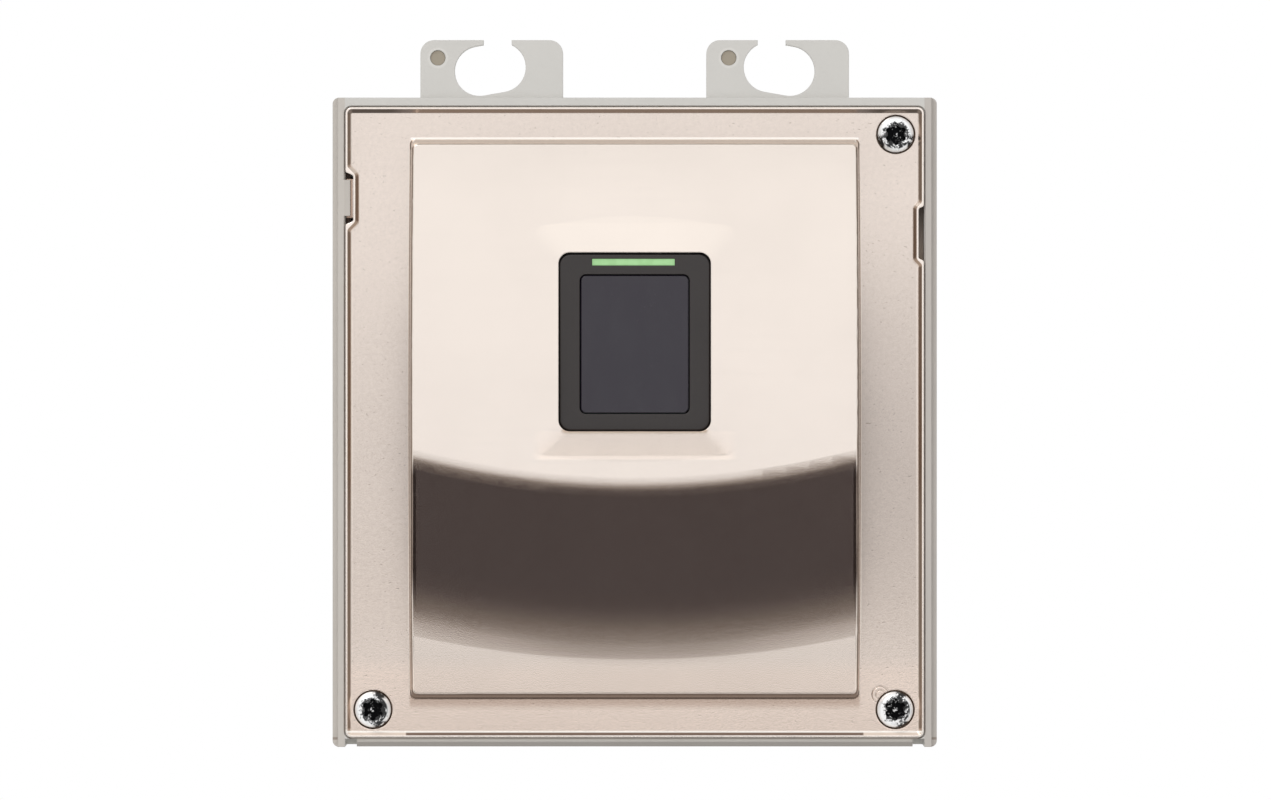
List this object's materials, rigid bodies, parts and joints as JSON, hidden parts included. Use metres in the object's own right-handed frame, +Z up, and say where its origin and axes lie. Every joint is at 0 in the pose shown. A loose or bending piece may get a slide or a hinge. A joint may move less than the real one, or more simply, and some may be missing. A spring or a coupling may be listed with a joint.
{
  "type": "fingerprint scanner terminal",
  "caption": "Square fingerprint reader module with a metal front plate, an optical sensor in a low raised frame above an arched crest, a grey plastic housing and open hook tabs.",
  "frame": {"origin": "centre of the flat rear face of the housing, tabs not counted", "axes": "+Z up, -Y out of the front towards the user, +X to the right seen from the front"},
  "size_m": [0.097, 0.0255, 0.1134],
  "materials": {
    "housing_plastic": "fine-grained light warm grey moulded plastic",
    "plate_metal": "satin champagne-coloured nickel plate on cast metal",
    "screw_nickel": "bright nickel",
    "pin_metal": "dull mottled metal pin end",
    "bezel_plastic": "charcoal plastic",
    "platen_glass": "dark coated optical glass",
    "optical_glass": "clear optical glass",
    "light_guide": "translucent green light guide",
    "rubber": "black seal rubber",
    "brass": "turned brass",
    "black_plastic": "black moulded plastic",
    "socket_plastic": "ivory connector plastic",
    "chip_plastic": "black moulding compound",
    "led_plastic": "clear and white LED package",
    "board": "green solder mask on glass epoxy",
    "plated_steel": "zinc-plated steel",
    "flex_film": "amber film ribbon",
    "tinned_sheet": "tinned sheet metal",
    "capacitor_can": "drawn aluminium can",
    "ferrite": "dark ferrite",
    "contact_gold": "gold-plated contact"
  },
  "bodies": {
    "terminal": {"rear_housing": "housing_plastic", "tab_pins": "pin_metal", "front_plate": "plate_metal", "plate_gasket": "rubber", "threaded_inserts": "brass", "screw_seals": "rubber", "sensor_bezel": "bezel_plastic", "bezel_gasket": "rubber", "sensor_glass": "platen_glass", "light_bar": "light_guide", "sensor_prism": "optical_glass", "sensor_carrier": "black_plastic", "imaging_lens": "black_plastic", "image_chip": "chip_plastic", "illuminator_board": "board", "illuminator_leds": "led_plastic", "indicator_leds": "led_plastic", "sensor_board": "board", "sensor_screws": "plated_steel", "sensor_flex_socket": "socket_plastic", "flex_cable": "flex_film", "main_flex_socket": "socket_plastic", "main_board": "board", "board_screws": "plated_steel", "processor": "chip_plastic", "memory_chips": "chip_plastic", "shield_can": "tinned_sheet", "capacitors": "capacitor_can", "power_inductor": "ferrite", "voltage_regulator": "chip_plastic", "clock_crystal": "tinned_sheet", "chip_resistors": "chip_plastic", "bus_headers": "black_plastic", "bus_header_pins": "contact_gold", "connector_seals": "rubber"},
    "screw_top_right": {"front_screw_top_right": "screw_nickel"},
    "screw_bottom_right": {"front_screw_bottom_right": "screw_nickel"},
    "screw_bottom_left": {"front_screw_bottom_left": "screw_nickel"}
  },
  "joints": [
    {"name": "top_right_screw_turn", "type": "hinge", "parent": "terminal", "child": "screw_top_right", "pos_m": [0.0419, -0.0201, 0.0462], "axis": [0, -1, 0], "continuous": true},
    {"name": "bottom_right_screw_turn", "type": "hinge", "parent": "terminal", "child": "screw_bottom_right", "pos_m": [0.0418, -0.0201, -0.0461], "axis": [0, -1, 0], "continuous": true},
    {"name": "bottom_left_screw_turn", "type": "hinge", "parent": "terminal", "child": "screw_bottom_left", "pos_m": [-0.042, -0.0201, -0.0461], "axis": [0, -1, 0], "continuous": true}
  ]
}
